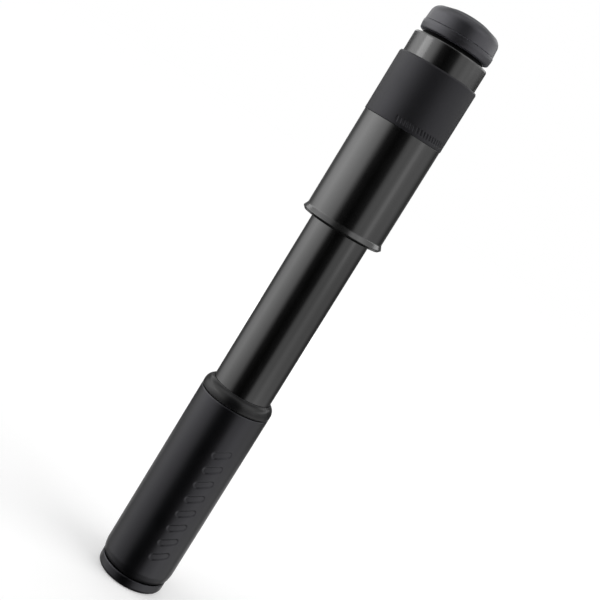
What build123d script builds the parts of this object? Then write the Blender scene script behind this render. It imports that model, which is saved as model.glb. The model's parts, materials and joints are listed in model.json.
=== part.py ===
from build123d import *
import math
import os

os.makedirs("parts", exist_ok=True)

# Telescopic mini pump, in millimetres, drawn pulled out. Z runs along the pump, up from the
# flat face of the end cap. Names that end in _r are radii, and those that end in _z heights.

# Fits, all measured on the radius or along the pump.
seat_gap = 0.02        # pieces that are pressed, screwed or glued together
slide_gap = 0.05       # running fits
clear_gap = 0.3        # pieces that only pass each other
cut_spare = 1.0        # cutters run this far past the faces they open

# Travel.
stroke = 64.2
closed_gap = 0.4       # head to piston when pushed right in
lip_gap = 0.36          # lip to collar when pushed right in
end_gap = 0.5          # barrel's end to the handle's web when pushed right in
stop_gap = 0.85        # guide ring to the wiper's seat when pulled out

# End cap, rubber.
end_cap_in = 0.7      # inside the grip's outer face
end_cap_h = 5.45
end_cap_round = 3.4

# Handle tube, a drawn cup with its web near the bottom.
barrel_r = 11.0
handle_bore_gap = 0.2  # barrel to handle tube
handle_wall = 0.8
skirt_h = 1.0
web_t = 1.4

# Grip, a rubber sleeve on the handle tube.
grip_wall = 1.3
grip_lift = 0.84       # bare tube below the sleeve
grip_toe_h = 1.46
grip_toe_in = 0.6
grip_toe_round = 3.0
grip_end_round = 0.3
grip_top_gap = 0.3
mark_depth = 0.35
mark_turn = -63.0      # degrees about Z from +X
grip_mark_count = 8
grip_mark_pitch = 6.1
grip_mark_w = 2.3
grip_mark_len = 7.0
grip_mark_slant = 24.0
grip_mark_drop = 2.85   # below the grip's middle

# Collar, the cap nut at the handle's mouth.
collar_sleeve_h = 1.6
collar_straight_h = 0.45
collar_shoulder_r = 3.5
collar_bead_w = 0.35
collar_bead_h = 0.7
collar_bead_round = 0.2
wiper_h = 0.9
wiper_in = 0.15        # inside the handle tube's outer face

# Rod, its screw and washer.
rod_r = 4.0
rod_screw_r = 2.5
rod_screw_len = 14.0
rod_screw_head_r = 4.5
rod_screw_head_h = 1.7
rod_screw_key_r = 1.7
rod_screw_key_h = 1.0
rod_washer_r = 5.0
rod_washer_t = 0.5
tap_spare = 1.0        # tapped hole past the screw's end

# Piston.
piston_gap = 0.25
piston_rest_gap = 1.75 # rod guide to piston when pulled out
rod_socket_h = 2.0
ring_wire_r = 1.5      # piston O-ring
ring_float = 0.5       # groove's height over the O-ring's
ring_land_h = 2.3      # land below the O-ring
ring_crown_h = 2.2     # land above it
piston_slot_w = 2.0
piston_slot_count = 4
piston_screw_r = 2.0
piston_screw_len = 12.0
piston_screw_head_r = 3.4
piston_screw_head_h = 1.8
piston_screw_key_r = 1.2
piston_washer_t = 0.5
piston_washer_r = 3.6

# Barrel and what sits at its lower end.
barrel_wall = 1.0
guide_ring_h = 3.0
guide_groove_t = 0.4
guide_end_h = 1.0      # barrel below the guide ring
guide_cut_w = 0.6
guide_cut_tilt = 35.0
rod_guide_h = 6.0
vent_r = 1.2
vent_count = 3

# Head block, glued into the body, with the check valve in its middle.
head_recess = 1.85     # lip to the head block's lower face
head_wall = 1.55        # barrel to body tube
head_slab_h = 6.0
boss_wall = 2.4
head_edge = 0.4
seal_wire_r = 0.42     # barrel O-ring
seal_drop = 2.0
seal_room = 0.1
port_r = 1.5
port_h = 2.0
valve_room_h = 6.0
poppet_land = 1.1      # poppet's rim past its port
poppet_room = 0.8
poppet_h = 1.6
poppet_nose_h = 1.2
poppet_stub_r = 1.3
poppet_stub_h = 1.6
spring_room = 0.45     # stub to wire
spring_wire_r = 0.2
spring_turns = 4.0

# Hose socket, brass, with an M6 thread that faces up.
socket_step = 1.1      # thread of the socket past the valve's room
socket_body_h = 5.0
socket_hex_w = 1.5     # hexagon past the socket's body
socket_hex_h = 3.0
socket_thread_r = 2.5
socket_thread_h = 6.5
socket_port_r = 1.2
socket_edge = 0.5
socket_washer_t = 0.5
socket_washer_out = 0.2

# Body tube.
body_wall = 1.87
body_plain_h = 38.78   # lip to the band's seat
band_seat_t = 0.77
band_h = 22.15
neck_h = 7.84
neck_round = 0.75
mouth_edge = 0.25
lip_out = 0.85
lip_h = 2.6
lip_edge_h = 0.9
lip_under_w = 0.9
lip_round = 0.35

# Rubber band on the body.
band_t = 0.95
band_edge_w = 0.3
band_edge_h = 0.5
band_mark_count = 17
band_mark_turn = 5.1   # degrees from one mark to the next
band_mark_w = 0.55
band_mark_len = 1.9
band_mark_slant = 14.0
band_mark_z = 2.1      # above the band's lower edge
band_mark_depth = 0.2

# Dust cap: a plug that closes the mouth, and a soft cover on top of it.
plug_spigot_h = 8.0
plug_wall = 2.0
plug_waist_in = 0.3
plug_waist_h = 1.27
plug_lip_in = 0.5
plug_lip_h = 3.13
plug_belly_h = 2.35       # the lip's widest place above its lower edge
plug_belly_round = 1.5
plug_lip_step = 0.55   # inside the neck's outer face
plug_post_h = 4.5
cap_seal_wire_r = 0.7
cover_in = 0.2         # inside the plug's lip
cover_draft = 0.45
cover_wall = 2.05
cover_h = 7.7
cover_round = 3.0
cover_crown_h = 2.3      # middle of the top above its edge
cover_flat_r = 5.0
cover_crown_round = 14.0
cover_edge = 0.25
seam_edge = 0.2

# Worked out from the sizes above.
web_z = end_cap_h + skirt_h
rod_z = web_z + web_t
barrel_z = rod_z + end_gap + stroke
guide_ring_z = barrel_z + guide_end_h
handle_top_z = guide_ring_z + guide_ring_h + stop_gap
collar_z = handle_top_z - collar_sleeve_h
grip_z = end_cap_h + grip_lift
grip_top_z = collar_z - grip_top_gap
wiper_z = handle_top_z + slide_gap
handle_bore_r = barrel_r + handle_bore_gap
handle_r = handle_bore_r + handle_wall
grip_r = handle_r + grip_wall
end_cap_r = grip_r - end_cap_in
wiper_r = handle_r - wiper_in
bore_r = barrel_r - barrel_wall
rod_guide_top_z = barrel_z + rod_guide_h
piston_z = rod_guide_top_z + piston_rest_gap
ring_groove_h = 2 * ring_wire_r + ring_float
piston_h = ring_land_h + ring_groove_h + ring_crown_h
piston_top_z = piston_z + piston_h
rod_top_z = piston_z + rod_socket_h
head_z = piston_top_z + closed_gap + stroke
shoulder_z = collar_z + collar_straight_h
bead_r = barrel_r + slide_gap + collar_bead_w
shoulder_drop = grip_r - bead_r
shoulder_h = math.sqrt(collar_shoulder_r ** 2 - (collar_shoulder_r - shoulder_drop) ** 2)
collar_top_z = shoulder_z + shoulder_h + collar_bead_h
lip_z = collar_top_z + stroke + lip_gap
band_z = lip_z + body_plain_h
neck_z = band_z + band_h
mouth_z = neck_z + neck_h
body_bore_r = barrel_r + head_wall
body_r = body_bore_r + body_wall
neck_r = body_r - band_seat_t
poppet_r = port_r + poppet_land
valve_room_r = poppet_r + poppet_room
spring_r = poppet_stub_r + spring_room + spring_wire_r
socket_body_r = valve_room_r + socket_step
boss_r = socket_body_r + boss_wall
socket_hex_r = socket_body_r + socket_hex_w
socket_washer_r = socket_hex_r + socket_washer_out
valve_z = head_z + port_h
socket_z = valve_z + valve_room_h
boss_top_z = socket_z + socket_body_h
hex_z = boss_top_z + socket_washer_t
socket_top_z = hex_z + socket_hex_h
plug_lip_r = neck_r - plug_lip_step
cover_r = plug_lip_r - cover_in
cover_top_r = cover_r - cover_draft
plug_post_r = cover_r - cover_wall
spigot_z = mouth_z - mouth_edge - plug_spigot_h
cap_seal_z = spigot_z + plug_spigot_h / 2
plug_lip_z = mouth_z + plug_waist_h
seam_z = plug_lip_z + plug_lip_h
piston_key_z = piston_top_z - piston_screw_head_h - piston_washer_t - closed_gap


def turned(*corners):
    """Turn a closed outline about Z. A corner is (radius, height) or (radius, height, round)."""
    rounds = [corner[2] if len(corner) > 2 else 0 for corner in corners]
    outline = FilletPolyline(*[corner[:2] for corner in corners], radius=rounds, close=True)
    return revolve(Plane.XZ * make_face(outline), Axis.Z)


def turned_edges(*edges):
    """Turn an outline that is given as its own lines and arcs."""
    return revolve(Plane.XZ * make_face(Curve() + list(edges)), Axis.Z)


def tube(inner, outer, low, high):
    return turned((inner, low), (outer, low), (outer, high), (inner, high))


def rod(radius, low, high):
    return Pos(0, 0, low) * extrude(Circle(radius), high - low)


def hexagon(radius, low, high):
    return Pos(0, 0, low) * extrude(RegularPolygon(radius, 6, major_radius=False), high - low)


def o_ring(centre_r, wire_r, height):
    return Pos(0, 0, height) * Torus(centre_r, wire_r)


def pan_screw(shank_r, shank_len, head_r, head_h, key_r, key_h):
    """Screw with its head's seat at the origin and its shank pointing up."""
    head = turned((0, -head_h), (head_r, -head_h, head_h / 2), (head_r, 0), (0, 0))
    shank = turned((0, 0), (shank_r, 0), (shank_r, shank_len - shank_r / 2),
                   (shank_r / 2, shank_len), (0, shank_len))
    return head + shank - hexagon(key_r, -head_h - cut_spare, key_h - head_h)


def mark(radius, depth, width, length, slant, turn, height):
    """One slanted groove, sunk by its depth into a round wall of the given radius."""
    face = Plane(origin=(0, 0, height), x_dir=(0, 1, 0), z_dir=(1, 0, 0))
    bar = extrude(face * Rot(0, 0, slant) * SlotOverall(length, width), radius * 2)
    shell = tube(radius - depth, radius * 2, height - length, height + length)
    return Rot(0, 0, turn) * (bar & shell)


def make_end_cap():
    spigot_r = handle_bore_r - seat_gap
    spigot_top = end_cap_h + skirt_h - seat_gap
    recess_r = rod_washer_r + clear_gap
    recess_z = web_z - rod_washer_t - rod_screw_head_h - clear_gap
    return turned((0, 0), (end_cap_r, 0, end_cap_round), (end_cap_r, end_cap_h, clear_gap),
                  (spigot_r, end_cap_h), (spigot_r, spigot_top), (recess_r, spigot_top),
                  (recess_r, recess_z), (0, recess_z))


def make_handle_tube():
    low = end_cap_h + seat_gap
    wall = tube(handle_bore_r, handle_r, low, handle_top_z)
    web = tube(rod_screw_r + seat_gap, handle_bore_r, web_z, rod_z)
    return wall + web


def make_handle_grip():
    inner = handle_r + seat_gap
    sleeve = turned((inner, grip_z), (grip_r - grip_toe_in, grip_z),
                    (grip_r, grip_z + grip_toe_h, grip_toe_round),
                    (grip_r, grip_top_z, grip_end_round), (inner, grip_top_z))
    middle = (grip_z + grip_top_z) / 2 - grip_mark_drop
    first = middle - grip_mark_pitch * (grip_mark_count - 1) / 2
    for place in range(grip_mark_count):
        height = first + place * grip_mark_pitch
        sleeve -= mark(grip_r, mark_depth, grip_mark_w, grip_mark_len, grip_mark_slant,
                       mark_turn, height)
    return sleeve


def make_handle_collar():
    run_r = barrel_r + slide_gap
    sleeve_r = handle_r + seat_gap
    wiper_top = wiper_z + wiper_h + slide_gap
    shoulder_top = shoulder_z + shoulder_h
    half = math.asin(shoulder_h / collar_shoulder_r) / 2
    centre_r = grip_r - collar_shoulder_r
    middle = (centre_r + collar_shoulder_r * math.cos(half),
              shoulder_z + collar_shoulder_r * math.sin(half))
    bead_side = (bead_r, collar_top_z - collar_bead_round)
    bead_top = (bead_r - collar_bead_round, collar_top_z)
    return turned_edges(
        Polyline((sleeve_r, collar_z), (grip_r, collar_z), (grip_r, shoulder_z)),
        ThreePointArc((grip_r, shoulder_z), middle, (bead_r, shoulder_top)),
        Line((bead_r, shoulder_top), bead_side),
        RadiusArc(bead_side, bead_top, -collar_bead_round),
        Polyline(bead_top, (run_r, collar_top_z), (run_r, wiper_top), (wiper_r, wiper_top),
                 (wiper_r, handle_top_z + seat_gap), (sleeve_r, handle_top_z + seat_gap),
                 (sleeve_r, collar_z)),
    )


def make_wiper_ring():
    inner = barrel_r + slide_gap
    outer = wiper_r - seat_gap
    edge = (outer - inner) / 4
    return turned((inner, wiper_z, edge), (outer, wiper_z), (outer, wiper_z + wiper_h),
                  (inner, wiper_z + wiper_h, edge))


def make_rod_screw():
    screw = pan_screw(rod_screw_r, rod_screw_len, rod_screw_head_r, rod_screw_head_h,
                      rod_screw_key_r, rod_screw_key_h)
    return Pos(0, 0, web_z - rod_washer_t) * screw


def make_rod_washer():
    return tube(rod_screw_r + seat_gap, rod_washer_r, web_z - rod_washer_t, web_z)


def make_piston_rod():
    low_tap = web_z - rod_washer_t + rod_screw_len + tap_spare
    high_tap = piston_key_z - piston_screw_len - tap_spare
    body = rod(rod_r, rod_z, rod_top_z)
    body -= rod(rod_screw_r + seat_gap, rod_z, low_tap)
    return body - rod(piston_screw_r + seat_gap, high_tap, rod_top_z)


def make_piston_head():
    outer = bore_r - piston_gap
    groove_r = bore_r - slide_gap - 2 * ring_wire_r - clear_gap
    groove_z = piston_z + ring_land_h
    groove_top = groove_z + ring_groove_h
    blank = turned((0, piston_z), (outer, piston_z), (outer, groove_z), (groove_r, groove_z),
                   (groove_r, groove_top), (outer, groove_top), (outer, piston_top_z),
                   (0, piston_top_z))
    blank -= rod(rod_r + seat_gap, piston_z, rod_top_z)
    blank -= rod(piston_screw_r + seat_gap, rod_top_z, piston_top_z)
    blank -= rod(piston_washer_r + clear_gap, piston_key_z, piston_top_z)
    slot_h = piston_top_z - groove_top
    slot_z = groove_top + slot_h / 2
    for place in range(piston_slot_count):
        turn = Rot(0, 0, place * 360 / piston_slot_count)
        centre = Pos(groove_r + outer / 2, 0, slot_z)
        blank -= turn * centre * Box(outer, piston_slot_w, slot_h)
    return blank


def make_piston_o_ring():
    centre = bore_r - slide_gap - ring_wire_r
    return o_ring(centre, ring_wire_r, piston_z + ring_land_h + ring_groove_h / 2)


def make_piston_washer():
    low = piston_key_z + seat_gap
    return tube(piston_screw_r + seat_gap, piston_washer_r, low, low + piston_washer_t)


def make_piston_screw():
    screw = pan_screw(piston_screw_r, piston_screw_len, piston_screw_head_r,
                      piston_screw_head_h, piston_screw_key_r, piston_screw_head_h / 2)
    return Pos(0, 0, piston_key_z + seat_gap + piston_washer_t) * Rot(180, 0, 0) * screw


def make_guide_ring():
    inner = barrel_r - guide_groove_t + slide_gap
    outer = handle_bore_r - slide_gap
    band = tube(inner, outer, guide_ring_z, guide_ring_z + guide_ring_h)
    cut = Box(outer * 2, guide_cut_w, guide_ring_h * 4)
    middle = guide_ring_z + guide_ring_h / 2
    return band - Pos(-outer, 0, middle) * Rot(guide_cut_tilt, 0, 0) * cut


def make_barrel_tube():
    wall = tube(bore_r, barrel_r, barrel_z, head_z - seat_gap)
    groove = tube(barrel_r - guide_groove_t, barrel_r + cut_spare, guide_ring_z - slide_gap,
                  guide_ring_z + guide_ring_h + slide_gap)
    return wall - groove


def make_rod_guide():
    bush = tube(rod_r + slide_gap, bore_r - seat_gap, barrel_z, rod_guide_top_z)
    for place in range(vent_count):
        turn = Rot(0, 0, place * 360 / vent_count)
        vent = Pos((rod_r + bore_r) / 2, 0, 0) * rod(vent_r, barrel_z, rod_guide_top_z)
        bush -= turn * vent
    return bush


def make_head_block():
    low = lip_z + head_recess
    outer = body_bore_r - seat_gap
    slab_top = head_z + head_slab_h
    socket_r = barrel_r + seat_gap
    block = turned((socket_r, low), (outer, low), (outer, slab_top), (boss_r, slab_top),
                   (boss_r, boss_top_z, head_edge), (socket_body_r, boss_top_z),
                   (socket_body_r, socket_z), (valve_room_r, socket_z), (valve_room_r, valve_z),
                   (port_r, valve_z), (port_r, head_z), (socket_r, head_z))
    groove_r = socket_r + 2 * seal_wire_r + seal_room
    half = seal_wire_r + seal_room
    middle = head_z - seal_drop
    return block - tube(bore_r, groove_r, middle - half, middle + half)


def make_barrel_o_ring():
    return o_ring(barrel_r + seat_gap + seal_wire_r, seal_wire_r, head_z - seal_drop)


def make_valve_poppet():
    low = valve_z + slide_gap
    top = low + poppet_h
    nose_r = port_r - clear_gap
    return turned((0, valve_z - poppet_nose_h), (nose_r, valve_z - poppet_nose_h, nose_r / 3),
                  (nose_r, low), (poppet_r, low), (poppet_r, top), (poppet_stub_r, top),
                  (poppet_stub_r, top + poppet_stub_h), (0, top + poppet_stub_h))


def make_valve_spring():
    low = valve_z + slide_gap + poppet_h + spring_wire_r + slide_gap
    high = socket_z - spring_wire_r - slide_gap
    height = high - low
    path = Pos(0, 0, low) * Helix(height / spring_turns, height, spring_r)
    start = Plane(origin=path @ 0, z_dir=path % 0)
    return sweep(start * Circle(spring_wire_r), path=path)


def make_hose_socket():
    body = rod(socket_body_r - seat_gap, socket_z, hex_z)
    flange = hexagon(socket_hex_r, hex_z, socket_top_z)
    thread_z = socket_top_z - socket_thread_h
    bore = turned((0, socket_z), (socket_port_r, socket_z), (socket_port_r, thread_z),
                  (socket_thread_r, thread_z), (socket_thread_r, socket_top_z - socket_edge),
                  (socket_thread_r + socket_edge, socket_top_z), (0, socket_top_z))
    return body + flange - bore


def make_socket_washer():
    return tube(socket_body_r + seat_gap, socket_washer_r, boss_top_z, hex_z)


def make_body_tube():
    lip_r = body_r + lip_out
    low_r = lip_r - lip_under_w
    return turned((body_bore_r, lip_z), (low_r, lip_z, lip_round),
                  (lip_r, lip_z + lip_edge_h, lip_round), (body_r, lip_z + lip_h, lip_h),
                  (body_r, band_z), (neck_r, band_z), (neck_r, mouth_z, neck_round),
                  (body_bore_r + mouth_edge, mouth_z), (body_bore_r, mouth_z - mouth_edge))


def make_body_band():
    inner = neck_r + seat_gap
    outer = neck_r + band_t
    top = neck_z
    sleeve = turned((inner, band_z + seat_gap), (outer, band_z + seat_gap, band_edge_w / 2),
                    (outer, top - band_edge_h), (outer - band_edge_w, top), (inner, top))
    first = mark_turn - band_mark_turn * (band_mark_count - 1) / 2
    for place in range(band_mark_count):
        turn = first + place * band_mark_turn
        sleeve -= mark(outer, band_mark_depth, band_mark_w, band_mark_len,
                       90 + band_mark_slant, turn, band_z + band_mark_z)
    return sleeve


def make_cap_plug():
    spigot_r = body_bore_r - slide_gap
    hollow_r = spigot_r - plug_wall
    waist_r = spigot_r - plug_waist_in
    seat_r = body_bore_r + mouth_edge - slide_gap
    lip_low_r = plug_lip_r - plug_lip_in
    hollow_top = mouth_z - mouth_edge
    blank = turned((hollow_r, spigot_z), (spigot_r, spigot_z, clear_gap),
                   (spigot_r, mouth_z - mouth_edge), (seat_r, mouth_z),
                   (waist_r, mouth_z + mouth_edge), (waist_r, plug_lip_z),
                   (lip_low_r, plug_lip_z, clear_gap),
                   (plug_lip_r, plug_lip_z + plug_belly_h, plug_belly_round),
                   (plug_lip_r, seam_z - 2 * seam_edge), (plug_lip_r - seam_edge, seam_z),
                   (plug_post_r, seam_z),
                   (plug_post_r, seam_z + plug_post_h), (0, seam_z + plug_post_h),
                   (0, hollow_top), (hollow_r, hollow_top))
    half = cap_seal_wire_r + seal_room
    groove_r = spigot_r - 2 * cap_seal_wire_r
    return blank - tube(groove_r, body_bore_r, cap_seal_z - half, cap_seal_z + half)


def make_cap_o_ring():
    centre = body_bore_r - slide_gap - cap_seal_wire_r
    return o_ring(centre, cap_seal_wire_r, cap_seal_z)


def make_cap_cover():
    low = seam_z + seat_gap
    pocket_r = plug_post_r + seat_gap
    pocket_top = seam_z + plug_post_h + seat_gap
    top = seam_z + cover_h
    return turned((pocket_r, low), (cover_r - cover_edge, low), (cover_r, low + cover_edge),
                  (cover_top_r, top - cover_crown_h, cover_round),
                  (cover_flat_r, top, cover_crown_round), (0, top), (0, pocket_top),
                  (pocket_r, pocket_top))


pieces = {
    "end_cap": make_end_cap,
    "handle_tube": make_handle_tube,
    "handle_grip": make_handle_grip,
    "handle_collar": make_handle_collar,
    "wiper_ring": make_wiper_ring,
    "rod_screw": make_rod_screw,
    "rod_washer": make_rod_washer,
    "piston_rod": make_piston_rod,
    "piston_head": make_piston_head,
    "piston_o_ring": make_piston_o_ring,
    "piston_washer": make_piston_washer,
    "piston_screw": make_piston_screw,
    "guide_ring": make_guide_ring,
    "barrel_tube": make_barrel_tube,
    "rod_guide": make_rod_guide,
    "head_block": make_head_block,
    "barrel_o_ring": make_barrel_o_ring,
    "valve_poppet": make_valve_poppet,
    "valve_spring": make_valve_spring,
    "hose_socket": make_hose_socket,
    "socket_washer": make_socket_washer,
    "body_tube": make_body_tube,
    "body_band": make_body_band,
    "cap_plug": make_cap_plug,
    "cap_o_ring": make_cap_o_ring,
    "cap_cover": make_cap_cover,
}

for name, make in pieces.items():
    export_step(make(), f"parts/{name}.step")

print("handle top", round(handle_top_z, 3), "collar", round(collar_z, 3), round(collar_top_z, 3))
print("lip", round(lip_z, 3), "head", round(head_z, 3), "socket top", round(socket_top_z, 3))
print("band", round(band_z, 3), "neck", round(neck_z, 3), "mouth", round(mouth_z, 3))
print("spigot", round(spigot_z, 3), "top", round(seam_z + cover_h, 3))
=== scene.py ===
import json
import math

import bmesh
import bpy
from mathutils import Matrix, Vector


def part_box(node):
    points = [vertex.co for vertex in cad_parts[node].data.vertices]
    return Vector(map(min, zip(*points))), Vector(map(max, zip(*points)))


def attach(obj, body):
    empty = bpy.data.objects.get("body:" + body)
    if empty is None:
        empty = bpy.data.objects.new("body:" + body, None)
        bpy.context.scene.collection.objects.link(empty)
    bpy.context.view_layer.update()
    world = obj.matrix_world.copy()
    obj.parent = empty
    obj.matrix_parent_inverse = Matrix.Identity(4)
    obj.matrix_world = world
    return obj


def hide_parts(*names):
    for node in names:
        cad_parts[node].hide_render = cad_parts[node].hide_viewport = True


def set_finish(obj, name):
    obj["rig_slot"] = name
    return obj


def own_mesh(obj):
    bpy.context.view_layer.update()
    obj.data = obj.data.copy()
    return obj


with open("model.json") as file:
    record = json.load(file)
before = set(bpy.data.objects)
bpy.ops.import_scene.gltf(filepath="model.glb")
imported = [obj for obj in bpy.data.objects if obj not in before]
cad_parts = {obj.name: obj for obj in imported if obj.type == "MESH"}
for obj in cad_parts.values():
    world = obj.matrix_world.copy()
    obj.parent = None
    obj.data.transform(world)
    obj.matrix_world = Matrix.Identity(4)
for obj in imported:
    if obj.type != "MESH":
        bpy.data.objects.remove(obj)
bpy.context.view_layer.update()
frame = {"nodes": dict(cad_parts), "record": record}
nodes = frame["nodes"]
mm = 0.001
print("frame loaded:", len(nodes), "nodes")


# heights and radii are read from the frame; values below are in millimetres and degrees unless a note says otherwise
def lowZ(node):
    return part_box(node)[0].z / mm


def highZ(node):
    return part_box(node)[1].z / mm


def outerR(node):
    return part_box(node)[1].x / mm


gripR = outerR("handle_grip")
tubeR = outerR("handle_tube")
barrelR = outerR("barrel_tube")
blockR = outerR("head_block")


def addObject(name, data):
    thing = bpy.data.objects.new(name, data)
    bpy.context.scene.collection.objects.link(thing)
    return thing


def meshFrom(name, bm):
    mesh = bpy.data.meshes.new(name)
    bm.to_mesh(mesh)
    bm.free()
    return mesh


# camera: it stands on the -Y side, looks at a point on the pump's middle and is rolled over
cameraValues = {"lens": 65.01, "sensor": 36.0, "distance": 369.86, "targetZ": 116.86, "side": 0.68,
                "elevation": 9.3, "roll": 31.68, "nearest": 10.0}


def makeCamera():
    values = cameraValues
    lift = math.radians(values["elevation"])
    target = Vector((values["side"], 0, values["targetZ"])) * mm
    back = Vector((0, -math.cos(lift), math.sin(lift)))
    data = bpy.data.cameras.new("camera")
    data.lens = values["lens"]
    data.sensor_width = values["sensor"]
    data.clip_start = values["nearest"] * mm
    camera = addObject("camera", data)
    aim = (-back).to_track_quat("-Z", "Y").to_matrix().to_4x4()
    roll = Matrix.Rotation(math.radians(values["roll"]), 4, "Z")
    camera.matrix_world = Matrix.Translation(target + back * values["distance"] * mm) @ aim @ roll
    bpy.context.scene.camera = camera


makeCamera()
print("camera placed")

# shaping: every piece is an outline with rounded corners, spun round the pump's axis
shapingValues = {
    "roundSteps": 6, "turnSteps": 240,  # segments of a rounding, and columns of a full turn
    "weld": 0.0005,
    "wornRound": 1.6,                   # roundings smaller than this get rubbed
    "onWall": 0.01,                     # how near to the wall a point is that the marks push in
}


def outlineMesh(corners, roundSteps=shapingValues["roundSteps"]):
    # corners are (radius, height) or (radius, height, rounding radius); the outline is closed, and the middle
    # of each small rounding gets the wear that the finishes read
    bm = bmesh.new()
    wear = bm.verts.layers.float.new("wear")
    verts = [bm.verts.new((corner[0] * mm, 0, corner[1] * mm)) for corner in corners]
    tangents = []
    for place, vert in enumerate(verts):
        before, after = verts[place - 1], verts[(place + 1) % len(verts)]
        if vert.co.x > 0 or after.co.x > 0:
            bm.edges.new((vert, after))
        turn = (vert.co - before.co).angle(after.co - vert.co)
        tangents.append(math.tan(turn / 2))
    for vert, corner, tangent in zip(verts, corners, tangents):
        if len(corner) > 2:
            tip = vert.co.copy()
            rounded = bmesh.ops.bevel(bm, geom=[vert], offset=corner[2] * mm * tangent, offset_type="OFFSET",
                                      segments=roundSteps, profile=0.5, affect="VERTICES", material=-1)["verts"]
            far = max((new.co - tip).length for new in rounded)
            near = min((new.co - tip).length for new in rounded)
            for new in rounded:
                if corner[2] < shapingValues["wornRound"] and far > near:
                    new[wear] = (far - (new.co - tip).length) / (far - near)
    return bm


def closeSeams(bm):
    bmesh.ops.remove_doubles(bm, verts=bm.verts, dist=shapingValues["weld"] * mm)
    bmesh.ops.recalc_face_normals(bm, faces=bm.faces)


def spinMesh(bm, steps=shapingValues["turnSteps"], fine=None):
    # fine is (first angle, angle, steps) of a sector with closer columns
    centre, axis = (0, 0, 0), (0, 0, 1)
    if fine is None:
        bmesh.ops.spin(bm, geom=bm.verts[:] + bm.edges[:], cent=centre, axis=axis, angle=2 * math.pi, steps=steps,
                       use_merge=True)
    else:
        first, span, fineSteps = fine
        bmesh.ops.rotate(bm, cent=centre, matrix=Matrix.Rotation(math.radians(first), 3, "Z"), verts=bm.verts)
        swept = bmesh.ops.spin(bm, geom=bm.verts[:] + bm.edges[:], cent=centre, axis=axis,
                               angle=math.radians(span), steps=fineSteps)
        bmesh.ops.spin(bm, geom=swept["geom_last"], cent=centre, axis=axis, angle=math.radians(360 - span),
                       steps=steps)
    closeSeams(bm)


def makePiece(name, bm, body, node, slot):
    for face in bm.faces:
        face.smooth = True
    piece = addObject(name, meshFrom(name, bm))
    normals = piece.modifiers.new("evenNormals", "WEIGHTED_NORMAL")
    normals.keep_sharp = True
    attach(piece, body)
    if node:
        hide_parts(node)
    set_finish(piece, slot)
    return piece


def turnedPiece(name, body, node, slot, corners, roundSteps=shapingValues["roundSteps"]):
    bm = outlineMesh(corners, roundSteps)
    spinMesh(bm)
    return makePiece(name, bm, body, node, slot)


def sinkMarks(bm, wallR, marks, values):
    # marks are (direction, height, slant): shallow slots with round ends and a soft edge, pressed into the wall
    halfLong = (values["long"] - values["wide"]) / 2
    for vert in bm.verts:
        radius = math.hypot(vert.co.x, vert.co.y) / mm
        if abs(radius - wallR) > shapingValues["onWall"]:
            continue
        angle = math.atan2(vert.co.y, vert.co.x)
        deepest = 0
        for direction, height, slant in marks:
            away = (angle - math.radians(direction) + math.pi) % (2 * math.pi) - math.pi
            across, along = away * wallR, vert.co.z / mm - height
            if abs(across) > values["long"] or abs(along) > values["long"]:
                continue
            lean = math.radians(slant)
            alongMark = abs(across * math.cos(lean) + along * math.sin(lean))
            acrossMark = along * math.cos(lean) - across * math.sin(lean)
            gap = math.hypot(max(alongMark - halfLong, 0), acrossMark) - values["wide"] / 2
            share = min(max(0.5 - gap / values["edge"], 0), 1)
            deepest = max(deepest, share * share * (3 - 2 * share))
        scale = (radius - values["depth"] * deepest) / radius
        vert.co.x *= scale
        vert.co.y *= scale


# end cap
endCapValues = {
    "flange": 4.05,                                           # height of the rim outside the cup
    "spigotIn": 0.82,                                         # spigot inside the cup's outer face
    "recess": 5.3, "floor": 3.4,                              # radius and floor of the hollow for the rod's screw
    "bottomRound": 1.5, "topEdge": 0.45, "insideEdge": 0.1,
    "roundSteps": 14,
}


def makeEndCap():
    values = endCapValues
    outer = outerR("end_cap")
    flange, recess, floor, edge = values["flange"], values["recess"], values["floor"], values["insideEdge"]
    spigot = tubeR - values["spigotIn"]
    top = highZ("end_cap")
    corners = [(0, 0), (outer, 0, values["bottomRound"]), (outer, flange, values["topEdge"]), (spigot, flange),
               (spigot, top, edge), (recess, top, edge), (recess, floor), (0, floor)]
    return turnedPiece("endCap", "handle", "end_cap", "grip_rubber", corners, values["roundSteps"])


# grip: a sleeve with a tapered toe and a row of slanted grooves on its front
gripValues = {
    "toeDrop": 1.85, "topDrop": 0.75,                         # its ends, below those of the CAD's sleeve
    "toeHeight": 3.3, "toeIn": 0.55, "toeRound": 4.0, "toeEdge": 1.8,
    "endRound": 0.45, "gap": 0.02,
}
gripMarkValues = {
    "count": 8, "pitch": 6.1, "direction": -63.0, "slant": 24.0,
    "drop": 1.87,                                             # middle of the row, below the grip's
    "long": 7.0, "wide": 2.3, "depth": 0.2, "edge": 0.6,
    "cell": 0.2, "margin": 1.2, "plainSteps": 220,            # fine mesh over the marks, columns of the rest
}


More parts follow.
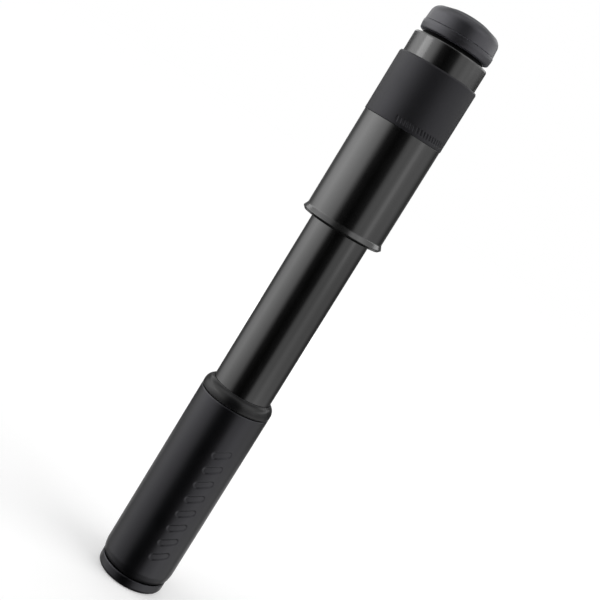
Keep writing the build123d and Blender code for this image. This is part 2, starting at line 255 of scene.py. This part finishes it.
def makeGrip():
    values, markValues = gripValues, gripMarkValues
    low, high = lowZ("handle_grip") - values["toeDrop"], highZ("handle_grip") - values["topDrop"]
    inner = tubeR + values["gap"]
    middle = (low + high) / 2 - markValues["drop"]
    first = middle - markValues["pitch"] * (markValues["count"] - 1) / 2
    marks = [(markValues["direction"], first + place * markValues["pitch"], markValues["slant"])
             for place in range(markValues["count"])]
    cell = markValues["cell"]
    reach = markValues["wide"] + markValues["long"] * math.sin(math.radians(markValues["slant"])) / 2
    rows = int((marks[-1][1] - marks[0][1] + 2 * reach) / cell)
    start = marks[0][1] - reach
    corners = [(inner, low), (gripR - values["toeIn"], low, values["toeEdge"]),
               (gripR, low + values["toeHeight"], values["toeRound"])]
    corners += [(gripR, start + row * cell) for row in range(rows + 1)]
    corners += [(gripR, high, values["endRound"]), (inner, high)]
    bm = outlineMesh(corners)
    width = markValues["long"] + markValues["margin"]
    span = math.degrees(width / gripR)
    spinMesh(bm, markValues["plainSteps"], (markValues["direction"] - span / 2, span, int(width / cell)))
    sinkMarks(bm, gripR, marks, markValues)
    return makePiece("gripSleeve", bm, "handle", "handle_grip", "grip_rubber")


# collar: a cap nut with a round shoulder and a bead round the tube's hole
collarValues = {
    "skirt": 0.75, "topDrop": 0.5,                            # its ends, below those of the CAD's nut
    "straight": 0.45, "shoulder": 3.5, "shoulderSteps": 14,
    "bead": 0.35, "beadHeight": 0.7, "beadRound": 0.2, "edge": 0.45,
    "run": 0.05, "seatGap": 0.02, "wiperSeat": 0.15,
}


def makeCollar():
    values = collarValues
    low, high = lowZ("handle_collar"), highZ("handle_collar") - values["topDrop"]
    run = barrelR + values["run"]
    beadR = run + values["bead"]
    start = low + values["straight"]
    centre = gripR - values["shoulder"]
    seat = tubeR + values["seatGap"]
    seatTop = highZ("handle_tube") + values["seatGap"]
    wiperTop = highZ("wiper_ring") + values["seatGap"]
    wiperR = tubeR - values["wiperSeat"]
    seam = low - values["skirt"]
    corners = [(seat, seam), (gripR, seam, values["edge"])]
    full = math.acos((beadR - centre) / values["shoulder"])
    for step in range(values["shoulderSteps"] + 1):
        angle = full * step / values["shoulderSteps"]
        corners.append((centre + values["shoulder"] * math.cos(angle), start + values["shoulder"] * math.sin(angle)))
    corners += [(beadR, high, values["beadRound"]), (run, high, values["beadRound"] / 2), (run, wiperTop),
                (wiperR, wiperTop), (wiperR, seatTop), (seat, seatTop)]
    return turnedPiece("collar", "handle", "handle_collar", "black_plastic", corners)


# body tube: a rolled lip at the bottom and a turned-down neck for the band at the top
bodyValues = {
    "wall": 1.87, "bandSeat": 0.77, "seatGap": 0.02,
    "lipHeight": 2.6, "lipEdge": 0.9, "lipUnder": 0.9, "lipRound": 0.25, "lipOver": 0.07,
    "flareRound": 1.0, "neckRound": 0.75, "mouthEdge": 0.25, "boreEdge": 0.15,
    "roundSteps": 8,
}


def makeBodyTube():
    values = bodyValues
    low, high = lowZ("body_tube"), highZ("body_tube")
    lipR = outerR("body_tube") + values["lipOver"]
    bore = blockR + values["seatGap"]
    outer = bore + values["wall"]
    neck = outer - values["bandSeat"]
    seat = lowZ("body_band") - values["seatGap"]
    corners = [(bore, low, values["boreEdge"]), (lipR - values["lipUnder"], low, values["lipRound"]),
               (lipR, low + values["lipEdge"], values["lipRound"]),
               (outer, low + values["lipHeight"], values["flareRound"]),
               (outer, seat, values["boreEdge"]), (neck, seat), (neck, high, values["neckRound"]),
               (bore + values["mouthEdge"], high), (bore, high - values["mouthEdge"])]
    return turnedPiece("bodyTube", "barrel", "body_tube", "anodised_aluminium", corners, values["roundSteps"])


# band: a rubber band on the neck, with a row of small grooves near its lower edge
bandValues = {"thick": 0.95, "bevelOut": 0.3, "bevelUp": 0.5, "lowEdge": 0.15, "topEdge": 0.2, "gap": 0.02}
bandMarkValues = {
    "count": 17, "turn": 5.1, "direction": -63.0, "slant": 104.0,
    "height": 2.08,                                           # middle of the row, above the band's lower edge
    "long": 1.9, "wide": 0.55, "depth": 0.2, "edge": 0.25,
    "cell": 0.11, "spareRows": 3, "spareTurns": 0.5, "plainSteps": 190,
}


def makeBand():
    values, markValues = bandValues, bandMarkValues
    low, high = lowZ("body_band"), highZ("body_band")
    neck = blockR + bodyValues["seatGap"] + bodyValues["wall"] - bodyValues["bandSeat"]
    inner, outer = neck + values["gap"], neck + values["thick"]
    middle = low + markValues["height"]
    first = markValues["direction"] - markValues["turn"] * (markValues["count"] - 1) / 2
    marks = [(first + place * markValues["turn"], middle, markValues["slant"])
             for place in range(markValues["count"])]
    cell = markValues["cell"]
    start = middle - markValues["long"] / 2 - markValues["spareRows"] * cell
    rows = int(markValues["long"] / cell) + 2 * markValues["spareRows"]
    corners = [(inner, low), (outer, low, values["lowEdge"])]
    corners += [(outer, start + row * cell) for row in range(rows + 1)]
    corners += [(outer, high - values["bevelUp"], values["topEdge"]),
                (outer - values["bevelOut"], high, values["topEdge"] / 2), (inner, high)]
    bm = outlineMesh(corners)
    span = markValues["turn"] * (markValues["count"] + markValues["spareTurns"])
    spinMesh(bm, markValues["plainSteps"],
             (markValues["direction"] - span / 2, span, int(math.radians(span) * outer / cell)))
    sinkMarks(bm, outer, marks, markValues)
    return makePiece("band", bm, "barrel", "body_band", "grip_rubber")


# dust cap, lower half: spigot with the seal's groove, deep waist, bellied lip and the post that holds the cover; its
# rubber is a darker copy of the cap's, painted shade
plugValues = {
    "run": 0.05, "wall": 2.0, "postIn": 2.05, "seatGap": 0.02,
    "sealRoom": 0.1, "sealWire": 0.7,
    "waistIn": 2.0, "skirtIn": 0.6, "mouthEdge": 0.25,
    "lipHeight": 3.13, "lipIn": 0.25, "lipEdge": 0.7, "belly": 2.0, "bellyRound": 1.5, "seamEdge": 0.08,
    "bottomEdge": 0.3, "hollowEdge": 0.2, "grooveEdge": 0.1, "hollowRound": 0.3, "postEdge": 0.2,
}


def makeCapPlug():
    values = plugValues
    bore = blockR + values["seatGap"]
    low = lowZ("cap_plug")
    seam = lowZ("cap_cover") - values["seatGap"]
    lipR = outerR("cap_plug")
    post = outerR("cap_cover") - values["postIn"]
    postTop = highZ("cap_plug")
    spigot = bore - values["run"]
    hollow = spigot - values["wall"]
    skirt, waist = spigot - values["skirtIn"], spigot - values["waistIn"]
    lipZ = seam - values["lipHeight"]
    seal = (lowZ("cap_o_ring") + highZ("cap_o_ring")) / 2
    half = values["sealWire"] + values["sealRoom"]
    groove = spigot - 2 * values["sealWire"]
    top = highZ("body_tube") - values["mouthEdge"]
    corners = [(hollow, low, values["hollowEdge"]), (spigot, low, values["bottomEdge"]),
               (spigot, seal - half, values["grooveEdge"]), (groove, seal - half),
               (groove, seal + half), (spigot, seal + half, values["grooveEdge"]), (spigot, top),
               (skirt, top), (waist, lipZ),
               (lipR - values["lipIn"], lipZ, values["lipEdge"]),
               (lipR, lipZ + values["belly"], values["bellyRound"]),
               (lipR, seam - 2 * values["seamEdge"], values["seamEdge"]), (lipR - values["seamEdge"], seam),
               (post, seam), (post, postTop, values["postEdge"]), (0, postTop), (0, top),
               (hollow, top, values["hollowRound"])]
    return turnedPiece("capPlug", "dust_cap", "cap_plug", "cap_rubber", corners)


# painted shade: a black ring put in the slot between the cap's lip and the mouth, where there is only shade
shadeRingValues = {"lowIn": 0.3, "highIn": 1.65, "thick": 0.3, "sink": 0.2, "gap": 0.02}


def makeShadeRing():
    values = shadeRingValues
    spigot = blockR + plugValues["seatGap"] - plugValues["run"]
    low = highZ("body_tube") - values["sink"]
    high = lowZ("cap_cover") - plugValues["seatGap"] - plugValues["lipHeight"] - values["gap"]
    lowR, highR = spigot - values["lowIn"], spigot - values["highIn"]
    corners = [(lowR - values["thick"], low), (lowR, low), (highR, high), (highR - values["thick"], high)]
    return turnedPiece("capShadeRing", "dust_cap", None, "seal_rubber", corners)


# dust cap, upper half
coverValues = {
    "draft": 0.45, "crown": 2.3, "flat": 5.0, "wall": 2.03, "seatGap": 0.02,
    "round": 3.0, "edge": 0.25, "crownRound": 14.0,
    "roundSteps": 10,
}


def makeCapCover():
    values = coverValues
    low, high = lowZ("cap_cover"), highZ("cap_cover")
    outer = outerR("cap_cover")
    pocket = outer - values["wall"]
    pocketTop = highZ("cap_plug") + values["seatGap"]
    corners = [(pocket, low), (outer, low, values["edge"]),
               (outer - values["draft"], high - values["crown"], values["round"]),
               (values["flat"], high, values["crownRound"]), (0, high), (0, pocketTop), (pocket, pocketTop)]
    return turnedPiece("capCover", "dust_cap", "cap_cover", "cap_rubber", corners, values["roundSteps"])


def makeValveSpring():
    bm = bmesh.new()
    bm.from_mesh(nodes["valve_spring"].data)
    closeSeams(bm)
    piece = makePiece("valveSpring", bm, "barrel", "valve_spring", "steel")
    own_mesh(piece)
    return piece


# nodes that the finishes share; noise scales are per metre
def noise(tree, scale, detail, stretch=(1, 1, 1)):
    coords = tree.nodes.new("ShaderNodeTexCoord")
    mapping = tree.nodes.new("ShaderNodeMapping")
    mapping.inputs["Scale"].default_value = stretch
    texture = tree.nodes.new("ShaderNodeTexNoise")
    texture.inputs["Scale"].default_value = scale
    texture.inputs["Detail"].default_value = detail
    tree.links.new(coords.outputs["Object"], mapping.inputs["Vector"])
    tree.links.new(mapping.outputs["Vector"], texture.inputs["Vector"])
    return texture.outputs["Fac"]


def spread(tree, value, low, high, fromLow=0.3, fromHigh=0.7):
    node = tree.nodes.new("ShaderNodeMapRange")
    node.inputs["From Min"].default_value = fromLow
    node.inputs["From Max"].default_value = fromHigh
    node.inputs["To Min"].default_value = low
    node.inputs["To Max"].default_value = high
    tree.links.new(value, node.inputs["Value"])
    return node.outputs["Result"]


def mathNode(tree, operation, *values):
    node = tree.nodes.new("ShaderNodeMath")
    node.operation = operation
    for socket, value in zip(node.inputs, values):
        if isinstance(value, float):
            socket.default_value = value
        else:
            tree.links.new(value, socket)
    return node.outputs["Value"]


def bump(tree, shader, height, depth):
    node = tree.nodes.new("ShaderNodeBump")
    node.inputs["Distance"].default_value = depth * mm
    tree.links.new(height, node.inputs["Height"])
    tree.links.new(node.outputs["Normal"], shader.inputs["Normal"])


def blend(tree, value, low, high):
    node = tree.nodes.new("ShaderNodeMix")
    node.data_type = "RGBA"
    for socket, colour in (("A", low), ("B", high)):
        if isinstance(colour, bpy.types.NodeSocket):
            tree.links.new(colour, node.inputs[socket])
        else:
            node.inputs[socket].default_value = (*colour, 1)
    tree.links.new(value, node.inputs["Factor"])
    return node.outputs["Result"]


# rubbed edges: how much paler and rougher the small roundings are, in patches
wearValues = {"colour": 5.0, "colourAdd": 0.002, "roughness": 0.06, "scale": 700, "detail": 3,
              "least": 0.35, "most": 1.0, "from": 0.4, "to": 0.6}


def rubbed(tree):
    values = wearValues
    edge = tree.nodes.new("ShaderNodeAttribute")
    edge.attribute_name = "wear"
    patches = spread(tree, noise(tree, values["scale"], values["detail"]), values["least"], values["most"],
                     values["from"], values["to"])
    return mathNode(tree, "MULTIPLY", edge.outputs["Fac"], patches)


# finishes: colours and roughness vary between two values in soft clouds, and the grain is a fine bump with its
# depth in millimetres; a finish with a sheen is a rubber
cloudValues = {"scale": 90, "detail": 3}
grainValues = {"detail": 4, "rubber": 5000}
rubberValues = {"glossTint": (0.93, 0.92, 1.0, 1), "sheenTint": (0.85, 0.87, 1.0, 1), "sheenRoughness": 0.4}
finishValues = {
    "blackAnodised": {"dark": (0.0012, 0.0012, 0.0012), "light": (0.0018, 0.0018, 0.0018), "rough": (0.17, 0.20),
                      "grain": 2500, "depth": 0.0004, "stretch": (1, 1, 0.03)},
    "turnedAluminium": {"dark": (0.55, 0.55, 0.56), "light": (0.65, 0.65, 0.66), "rough": (0.25, 0.35),
                        "grain": 2000, "depth": 0.001, "metallic": 1.0},
    "zincSteel": {"dark": (0.5, 0.5, 0.5), "light": (0.6, 0.6, 0.61), "rough": (0.25, 0.35),
                  "grain": 2500, "depth": 0.001, "metallic": 1.0},
    "turnedBrass": {"dark": (0.65, 0.45, 0.18), "light": (0.75, 0.55, 0.25), "rough": (0.2, 0.3),
                    "grain": 2500, "depth": 0.001, "metallic": 1.0},
    "blackPlastic": {"dark": (0.002, 0.002, 0.0022), "light": (0.003, 0.003, 0.0033), "rough": (0.27, 0.32),
                     "grain": 4000, "depth": 0.002, "specular": 0.2},
    "naturalPlastic": {"dark": (0.7, 0.69, 0.65), "light": (0.78, 0.77, 0.73), "rough": (0.35, 0.45),
                       "grain": 3000, "depth": 0.002},
    "sealRubber": {"dark": (0.008, 0.008, 0.008), "light": (0.012, 0.012, 0.012), "rough": (0.25, 0.35),
                   "grain": 3000, "depth": 0.001},
    "gripRubber": {"dark": (0.0006, 0.0006, 0.0008), "light": (0.0012, 0.0012, 0.0015), "rough": (0.29, 0.34),
                   "depth": 0.003, "specular": 0.31, "sheen": 0.0},
    "bandRubber": {"dark": (0.0012, 0.0012, 0.0015), "light": (0.0028, 0.0028, 0.0033), "rough": (0.49, 0.54),
                   "depth": 0.003, "specular": 0.24, "sheen": 0.0},
    "capRubber": {"dark": (0.0040, 0.0041, 0.0048), "light": (0.0060, 0.0061, 0.0070), "rough": (0.41, 0.47),
                  "depth": 0.004, "specular": 0.45, "sheen": 0.05},
    # painted shade: a darker copy of the cap rubber, for the cap's lower half
    "capShadedRubber": {"dark": (0.0015, 0.0015, 0.0019), "light": (0.0025, 0.0025, 0.0031), "rough": (0.41, 0.47),
                     "depth": 0.004, "specular": 0.45, "sheen": 0.1},
    # near-black rubber of the ring in the cap's slot, which stands in for shade: painted shade
    "shadeRingRubber": {"dark": (0.0015, 0.0015, 0.0015), "light": (0.0025, 0.0025, 0.0025), "rough": (0.55, 0.65),
                     "depth": 0.003, "specular": 0.08, "sheen": 0.0},
}
slotFinishes = {"anodised_aluminium": "blackAnodised", "bare_aluminium": "turnedAluminium", "steel": "zincSteel",
                "brass": "turnedBrass", "black_plastic": "blackPlastic", "white_plastic": "naturalPlastic",
                "seal_rubber": "sealRubber", "grip_rubber": "gripRubber", "cap_rubber": "capRubber"}
pieceFinishes = {"band": "bandRubber", "capPlug": "capShadedRubber", "capShadeRing": "shadeRingRubber"}


def makeFinish(name, values):
    material = bpy.data.materials.new(name)
    material.use_nodes = True
    tree = material.node_tree
    shader = tree.nodes["Principled BSDF"]
    shader.inputs["Metallic"].default_value = values.get("metallic", 0.0)
    shader.inputs["Specular IOR Level"].default_value = values.get("specular", 0.5)
    if "sheen" in values:
        shader.inputs["Specular Tint"].default_value = rubberValues["glossTint"]
        shader.inputs["Sheen Weight"].default_value = values["sheen"]
        shader.inputs["Sheen Roughness"].default_value = rubberValues["sheenRoughness"]
        shader.inputs["Sheen Tint"].default_value = rubberValues["sheenTint"]
    cloud = noise(tree, cloudValues["scale"], cloudValues["detail"])
    worn = rubbed(tree)
    bare = [min(1.0, part * wearValues["colour"] + wearValues["colourAdd"]) for part in values["light"]]
    colour = blend(tree, worn, blend(tree, cloud, values["dark"], values["light"]), bare)
    tree.links.new(colour, shader.inputs["Base Color"])
    rough = mathNode(tree, "MULTIPLY_ADD", worn, wearValues["roughness"], spread(tree, cloud, *values["rough"]))
    tree.links.new(rough, shader.inputs["Roughness"])
    grain = noise(tree, values.get("grain", grainValues["rubber"]), grainValues["detail"],
                  values.get("stretch", (1, 1, 1)))
    bump(tree, shader, grain, values["depth"])
    return material


def paint(piece, material):
    piece.data.materials.clear()
    piece.data.materials.append(material)


finishes = {name: makeFinish(name, values) for name, values in finishValues.items()}
print("finishes made:", len(finishes))

pieces = [makeEndCap(), makeGrip(), makeCollar(), makeBodyTube(), makeBand(), makeCapPlug(), makeShadeRing(),
          makeCapCover(), makeValveSpring()]
for piece in pieces:
    paint(piece, finishes[pieceFinishes.get(piece.name) or slotFinishes[piece["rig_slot"]]])
for part in frame["record"]["subparts"]:
    paint(nodes[part["node"]], finishes[slotFinishes[part["material_slot"]]])
print("pieces made:", len(pieces))

# studio, in metres; azimuth is from the viewer's side towards +X
studioValues = {
    "reach": 0.6, "fill": 0.6, "floorSize": 8.0, "floorColour": 0.8,
    "nearGlow": 0.24, "farGlow": 0.52, "fadeStart": 0.35, "fadeEnd": 0.6,  # the floor's own glow by distance
}
# lamps light the object's own colours and aren't mirrored
lampValues = [
    {"name": "leftLamp", "azimuth": -80, "span": 60, "low": -0.2, "high": 0.7, "level": 1.6},
    {"name": "rightLamp", "azimuth": 75, "span": 60, "low": -0.2, "high": 0.7, "level": 2.1},
    {"name": "backLamp", "azimuth": 180, "span": 60, "low": -0.2, "high": 0.7, "level": 0.8},
]
# the tent is what shiny parts mirror: its brightness by azimuth, then at each height its radius, how much of
# that shows on the left and on the right, and what is added near the middle and past the sides
tentValues = {
    "azimuths": [(-180, 0.2), (-140, 0.2), (-128, 0.7), (-112, 2.2), (-88, 4.0), (-64, 3.3), (-40, 2.2), (-32, 1.0),
                 (-24, 0.1), (0, 0.0), (24, 0.1), (32, 1.2), (42, 1.5), (50, 1.3), (66, 1.8), (74, 1.6), (90, 1.15),
                 (112, 0.8), (124, 0.4), (136, 0.1), (180, 0.2)],
    "heights": [(-0.90, 0.00, 0.0, 0.0, 0), (-0.90, 0.10, 0.05, 0.1, 0), (-0.90, 0.50, 0.05, 0.1, 0),
                (-0.75, 0.70, 0.08, 0.15, 0), (-0.60, 0.75, 0.2, 0.6, 0), (-0.46, 0.75, 0.4, 1.2, 0),
                (-0.22, 0.75, 0.42, 1.3, 0), (-0.14, 0.75, 0.5, 1.25, 0), (-0.11, 0.75, 0.8, 0.95, 0),
                (-0.05, 0.75, 0.85, 0.9, 0), (0.04, 0.75, 0.85, 0.85, 0), (0.11, 0.75, 1.15, 1.1, 0),
                (0.19, 0.75, 1.15, 1.1, 0), (0.29, 0.75, 1.05, 0.9, 0), (0.32, 0.75, 0.95, 1.6, 0),
                (0.46, 0.75, 0.9, 1.4, 0), (0.80, 0.70, 0.7, 1.9, 0.05), (1.15, 0.55, 0.8, 1.6, 0.45),
                (1.40, 0.30, 0.5, 0.7, 1.6), (1.50, 0.02, 0.1, 0.1, 2.2)],
    "middle": 24, "sides": 130,
}
# glows are small see-through boards in front of the tent, mirrored only
glowValues = [
    {"name": "leftGlow", "azimuth": -72, "span": 24, "low": 0.258, "high": 0.298, "level": 6.5},
    {"name": "leftLowGlow", "azimuth": -150, "span": 30, "low": -0.38, "high": -0.14, "level": 0.5},
    {"name": "rightLowGlow", "azimuth": 150, "span": 30, "low": -0.38, "high": -0.14, "level": 0.5},
    {"name": "rightGlow", "azimuth": 68, "span": 12, "low": 0.06, "high": 0.22, "level": 0.7},
    {"name": "leftCrownGlow", "azimuth": -147, "span": 36, "low": 0.42, "high": 0.75, "level": 1.5},
    {"name": "rightCrownGlow", "azimuth": 147, "span": 36, "low": 0.42, "high": 0.75, "level": 2.0},
    {"name": "leftCapGlow", "azimuth": -130, "span": 60, "low": 0.294, "high": 0.4, "level": 2.0},
    {"name": "rightCapGlow", "azimuth": 115, "span": 66, "low": 0.296, "high": 0.4, "level": 2.3},
]


def boardPlace(values):
    # width, height and place of an upright board or lamp that faces the axis
    width = 2 * studioValues["reach"] * math.tan(math.radians(values["span"] / 2))
    angle = math.radians(values["azimuth"])
    outward = Vector((math.sin(angle), -math.cos(angle), 0))
    turn = outward.to_track_quat("Z", "Y").to_matrix().to_4x4()
    middle = outward * studioValues["reach"] + Vector((0, 0, (values["low"] + values["high"]) / 2))
    return width, values["high"] - values["low"], Matrix.Translation(middle) @ turn


def boardMesh(width, height, matrix):
    bm = bmesh.new()
    bmesh.ops.create_grid(bm, x_segments=1, y_segments=1, size=0.5)
    bmesh.ops.scale(bm, vec=(width, height, 1), verts=bm.verts)
    bmesh.ops.transform(bm, matrix=matrix, verts=bm.verts)
    return bm


def makeLamp(values):
    width, height, matrix = boardPlace(values)
    data = bpy.data.lights.new(values["name"], "AREA")
    data.shape = "RECTANGLE"
    data.size = width
    data.size_y = height
    data.energy = values["level"] * math.pi * width * height
    lamp = addObject(values["name"], data)
    lamp.matrix_world = matrix
    lamp.visible_camera = False
    lamp.visible_glossy = False


def glowMaterial(name, base=None):
    # plain light, or light added to a shader of the given type
    material = bpy.data.materials.new(name)
    material.use_nodes = True
    tree = material.node_tree
    tree.nodes.clear()
    glow = tree.nodes.new("ShaderNodeEmission")
    output = tree.nodes.new("ShaderNodeOutputMaterial")
    if base is None:
        tree.links.new(glow.outputs["Emission"], output.inputs["Surface"])
        return material, tree, glow
    under = tree.nodes.new(base)
    both = tree.nodes.new("ShaderNodeAddShader")
    tree.links.new(glow.outputs["Emission"], both.inputs[0])
    tree.links.new(under.outputs["BSDF"], both.inputs[1])
    tree.links.new(both.outputs["Shader"], output.inputs["Surface"])
    return material, tree, glow


def mirroredOnly(name, bm, material):
    thing = addObject(name, meshFrom(name, bm))
    thing.data.materials.append(material)
    thing.visible_camera = False
    thing.visible_diffuse = False
    thing.visible_transmission = False
    thing.visible_shadow = False


def makeTent():
    # a grid rolled up into a tent, with its brightness on its points
    azimuths, heights = tentValues["azimuths"], tentValues["heights"]
    material, tree, glow = glowMaterial("tent")
    level = tree.nodes.new("ShaderNodeAttribute")
    level.attribute_name = "level"
    tree.links.new(level.outputs["Fac"], glow.inputs["Strength"])
    bm = bmesh.new()
    layer = bm.verts.layers.float.new("level")
    columns, rows = len(azimuths) - 1, len(heights) - 1
    bmesh.ops.create_grid(bm, x_segments=columns, y_segments=rows, size=0.5)
    for vert in bm.verts:
        azimuth, bright = azimuths[round((vert.co.x + 0.5) * columns)]
        height, reach, left, right, ends = heights[round((vert.co.y + 0.5) * rows)]
        angle = math.radians(azimuth)
        vert.co = (reach * math.sin(angle), -reach * math.cos(angle), height)
        atEnd = abs(azimuth) <= tentValues["middle"] or abs(azimuth) > tentValues["sides"]
        vert[layer] = bright * (left if azimuth < 0 else right) + (ends if atEnd else 0)
    mirroredOnly("tent", bm, material)


def makeGlow(values):
    material, tree, glow = glowMaterial(values["name"], "ShaderNodeBsdfTransparent")
    glow.inputs["Strength"].default_value = values["level"]
    mirroredOnly(values["name"], boardMesh(*boardPlace(values)), material)


def makeFloor():
    # just white in the lamps' light, so the soft shadow at the foot shows; past the lamps it glows more
    values = studioValues
    floor = addObject("floor", meshFrom("floor", boardMesh(values["floorSize"], values["floorSize"],
                                                           Matrix.Identity(4))))
    material, tree, glow = glowMaterial("paleFloor", "ShaderNodeBsdfDiffuse")
    tree.nodes["Diffuse BSDF"].inputs["Color"].default_value = (values["floorColour"],) * 3 + (1,)
    path = tree.nodes.new("ShaderNodeLightPath")
    coords = tree.nodes.new("ShaderNodeTexCoord")
    distance = tree.nodes.new("ShaderNodeVectorMath")
    distance.operation = "LENGTH"
    tree.links.new(coords.outputs["Object"], distance.inputs[0])
    fade = spread(tree, distance.outputs["Value"], values["nearGlow"], values["farGlow"], values["fadeStart"],
                  values["fadeEnd"])
    tree.links.new(mathNode(tree, "MULTIPLY", path.outputs["Is Camera Ray"], fade), glow.inputs["Strength"])
    floor.data.materials.append(material)
    floor.visible_glossy = False


def makeWorld():
    # white where it is seen, mirrored or seen through, and a dimmer fill for the rest
    world = bpy.data.worlds.new("world")
    bpy.context.scene.world = world
    world.use_nodes = True
    tree = world.node_tree
    background = tree.nodes["Background"]
    background.inputs["Color"].default_value = (1, 1, 1, 1)
    path = tree.nodes.new("ShaderNodeLightPath")
    shown = path.outputs["Is Camera Ray"]
    for ray in ("Is Glossy Ray", "Is Transmission Ray"):
        shown = mathNode(tree, "MAXIMUM", shown, path.outputs[ray])
    strength = spread(tree, shown, studioValues["fill"], 1.0, 0.0, 1.0)
    tree.links.new(strength, background.inputs["Strength"])


for values in lampValues:
    makeLamp(values)
makeTent()
for values in glowValues:
    makeGlow(values)
makeFloor()
makeWorld()
bpy.context.scene.view_settings.view_transform = "Standard"
print("studio set")
